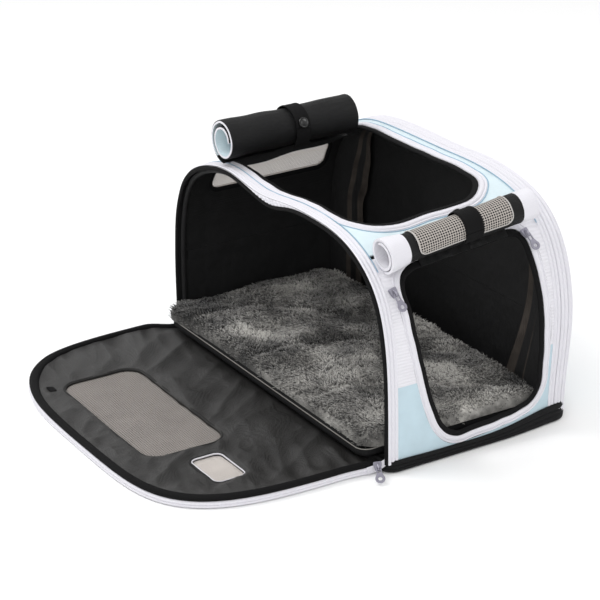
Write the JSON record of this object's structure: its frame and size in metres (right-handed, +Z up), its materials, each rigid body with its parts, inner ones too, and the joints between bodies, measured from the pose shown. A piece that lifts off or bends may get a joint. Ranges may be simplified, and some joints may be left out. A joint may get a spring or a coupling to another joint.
{
  "type": "pet carrier bag",
  "caption": "Soft-sided zipped pet carrier bag with a fold-down front door, rolled-up top and end doors, a fold-out rear panel and a plush mat.",
  "frame": {"origin": "centre of the flat underside of the base, on the surface the bag stands on", "axes": "+X along the bag towards the end with the rolled-up end door, the front door lies open towards -Y, +Z up"},
  "size_m": [0.4645, 0.4738, 0.2866],
  "materials": {
    "pale_blue_fabric": "smooth pale blue woven nylon",
    "white_ribbed_fabric": "faintly lilac white fabric with fine ribs and zip rows",
    "black_fabric": "black woven polyester and grosgrain binding",
    "black_lining": "thin dark lining with a soft sheen",
    "taupe_mesh": "warm grey woven netting",
    "pale_mesh": "pale netting lit from behind",
    "zip_metal": "satin lilac-white lacquer",
    "spring_wire": "drawn steel",
    "stiff_board": "matt board",
    "plush": "mottled grey long-pile plush"
  },
  "bodies": {
    "carrier": {"base_tray": "black_fabric", "base_board": "stiff_board", "floor_lining": "black_lining", "front_door_hinge_tape": "pale_blue_fabric", "rear_panel_hinge_tape": "black_fabric", "front_arch_binding": "black_fabric", "front_arch_zip_band": "white_ribbed_fabric", "front_hoop_wire": "spring_wire", "near_end_upper_panel": "white_ribbed_fabric", "near_end_lower_panel": "pale_blue_fabric", "end_door_zip_tape": "white_ribbed_fabric", "end_opening_binding": "black_fabric", "top_panel": "pale_blue_fabric", "top_door_zip_tape": "white_ribbed_fabric", "top_opening_binding": "black_fabric", "far_end_upper_panel": "white_ribbed_fabric", "far_end_lower_panel": "pale_blue_fabric", "far_window_mesh": "pale_mesh", "rear_fixed_zip_band": "white_ribbed_fabric", "expansion_gusset": "taupe_mesh", "top_door_roll": "black_fabric", "top_strap_root": "black_fabric", "top_strap_tab": "black_fabric", "end_door_roll": "black_fabric", "end_strap_root": "black_fabric", "end_strap_tab": "black_fabric"},
    "front_door": {"front_door_zip_band": "white_ribbed_fabric", "front_door_panel": "black_lining", "front_door_window_mesh": "taupe_mesh", "front_door_small_window": "taupe_mesh", "front_door_binding": "black_fabric", "front_door_hoop_wire": "spring_wire"},
    "mat": {"mat_board": "black_fabric", "fleece_mat": "plush"},
    "rear_panel": {"rear_moving_zip_band": "white_ribbed_fabric", "rear_panel_edge": "white_ribbed_fabric", "rear_hoop_wire": "spring_wire", "rear_upper_panel": "white_ribbed_fabric", "rear_lower_panel": "pale_blue_fabric"},
    "top_strap": {"top_strap": "black_fabric", "top_snap_cap": "zip_metal"},
    "end_strap": {"end_strap": "black_fabric", "end_snap_cap": "zip_metal"},
    "front_door_zip_slider": {"front_door_zip_slider": "zip_metal"},
    "front_door_zip_pull": {"front_door_zip_pull": "zip_metal"},
    "rear_panel_zip_slider": {"rear_panel_zip_slider": "zip_metal"},
    "rear_panel_zip_pull": {"rear_panel_zip_pull": "zip_metal"},
    "end_door_front_zip_slider": {"end_door_front_zip_slider": "zip_metal"},
    "end_door_front_zip_pull": {"end_door_front_zip_pull": "zip_metal"},
    "end_door_rear_zip_slider": {"end_door_rear_zip_slider": "zip_metal"},
    "end_door_rear_zip_pull": {"end_door_rear_zip_pull": "zip_metal"},
    "top_door_zip_slider": {"top_door_zip_slider": "zip_metal"},
    "top_door_zip_pull": {"top_door_zip_pull": "zip_metal"}
  },
  "joints": [
    {"name": "front_door_fold", "type": "hinge", "parent": "carrier", "child": "front_door", "pos_m": [0, -0.1225, 0.0155], "axis": [-1, 0, 0], "range_deg": [0, 90]},
    {"name": "mat_slide", "type": "slide", "parent": "carrier", "child": "mat", "axis": [0, 1, 0], "range_m": [-0.23, 0]},
    {"name": "rear_panel_fold", "type": "hinge", "parent": "carrier", "child": "rear_panel", "pos_m": [0, 0.1185, 0.002], "axis": [-1, 0, 0], "range_deg": [0, 90]},
    {"name": "top_strap_lift", "type": "hinge", "parent": "carrier", "child": "top_strap", "pos_m": [-0.1283, -0.02911, 0.25854], "axis": [0.0245, -0.9997, -0.0024], "range_deg": [0, 110]},
    {"name": "end_strap_lift", "type": "hinge", "parent": "carrier", "child": "end_strap", "pos_m": [0.20745, -0.00407, 0.23025], "axis": [-0.0028, 0.9943, 0.107], "range_deg": [0, 110]},
    {"name": "front_door_zip_travel", "type": "slide", "parent": "carrier", "child": "front_door_zip_slider", "axis": [0, 0, 1], "range_m": [0, 0.07]},
    {"name": "front_door_zip_pull_lift", "type": "hinge", "parent": "front_door_zip_slider", "child": "front_door_zip_pull", "pos_m": [0.22124, -0.1304, 0.01332], "axis": [-0.4225, -0.9054, -0.0422], "range_deg": [0, 140]},
    {"name": "rear_panel_zip_travel", "type": "slide", "parent": "carrier", "child": "rear_panel_zip_slider", "axis": [0, 0, 1], "range_m": [0, 0.06]},
    {"name": "rear_panel_zip_pull_lift", "type": "hinge", "parent": "rear_panel_zip_slider", "child": "rear_panel_zip_pull", "pos_m": [-0.2253, 0.097, 0.0281], "axis": [0, 1, 0], "range_deg": [0, 140]},
    {"name": "end_door_front_zip_travel", "type": "slide", "parent": "carrier", "child": "end_door_front_zip_slider", "axis": [0.5332, 0.1833, -0.8259], "range_m": [0, 0.035]},
    {"name": "end_door_front_zip_pull_lift", "type": "hinge", "parent": "end_door_front_zip_slider", "child": "end_door_front_zip_pull", "pos_m": [0.20336, -0.09777, 0.18542], "axis": [0.0791, -0.9828, -0.1671], "range_deg": [0, 140]},
    {"name": "end_door_rear_zip_travel", "type": "slide", "parent": "carrier", "child": "end_door_rear_zip_slider", "axis": [0.6502, 0.2318, -0.7235], "range_m": [0, 0.035]},
    {"name": "end_door_rear_zip_pull_lift", "type": "hinge", "parent": "end_door_rear_zip_slider", "child": "end_door_rear_zip_pull", "pos_m": [0.19235, 0.07028, 0.20905], "axis": [0.1303, -0.9722, -0.1944], "range_deg": [0, 100]},
    {"name": "top_door_zip_travel", "type": "slide", "parent": "carrier", "child": "top_door_zip_slider", "axis": [0.9905, -0.009, 0.1373], "range_m": [0, 0.004]},
    {"name": "top_door_zip_pull_lift", "type": "hinge", "parent": "top_door_zip_slider", "child": "top_door_zip_pull", "pos_m": [-0.11969, -0.10131, 0.23397], "axis": [0, 0.9979, 0.0652], "range_deg": [0, 45]}
  ]
}
